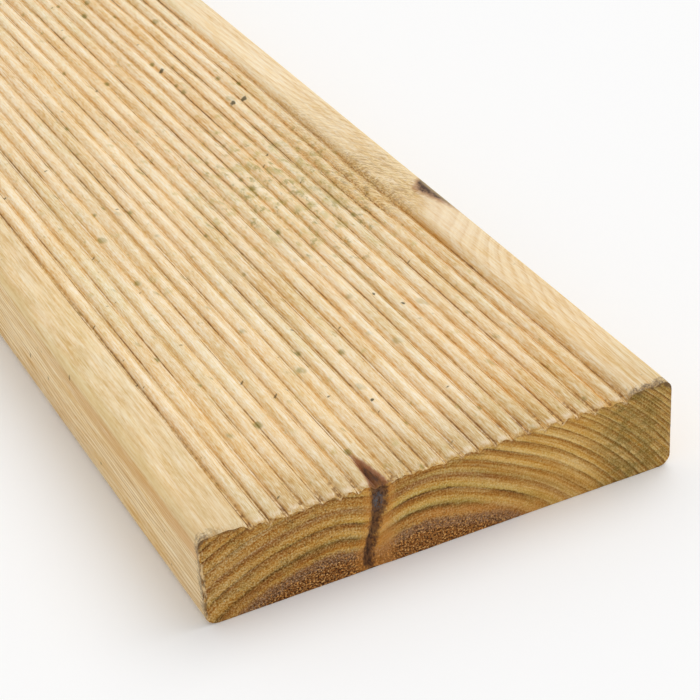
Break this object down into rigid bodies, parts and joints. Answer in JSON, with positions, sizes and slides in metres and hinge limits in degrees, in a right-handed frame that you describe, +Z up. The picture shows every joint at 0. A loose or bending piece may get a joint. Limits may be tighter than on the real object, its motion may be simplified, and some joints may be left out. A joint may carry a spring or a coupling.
{
  "type": "decking board",
  "caption": "Straight softwood decking board with a finely reeded tread face, plain margins beside the reeds and rounded long edges, laid flat across joists as an outdoor floor.",
  "frame": {"origin": "middle of the underside, on the surface that the board lies on", "axes": "+Y along the length, from the end that the picture shows; +X across the width; +Z up, out of the reeded tread face"},
  "size_m": [0.12, 1.8, 0.024],
  "materials": {
    "treated_softwood": "planed, pressure treated and left bare"
  },
  "bodies": {
    "root": {"decking_board": "treated_softwood"}
  },
  "joints": []
}
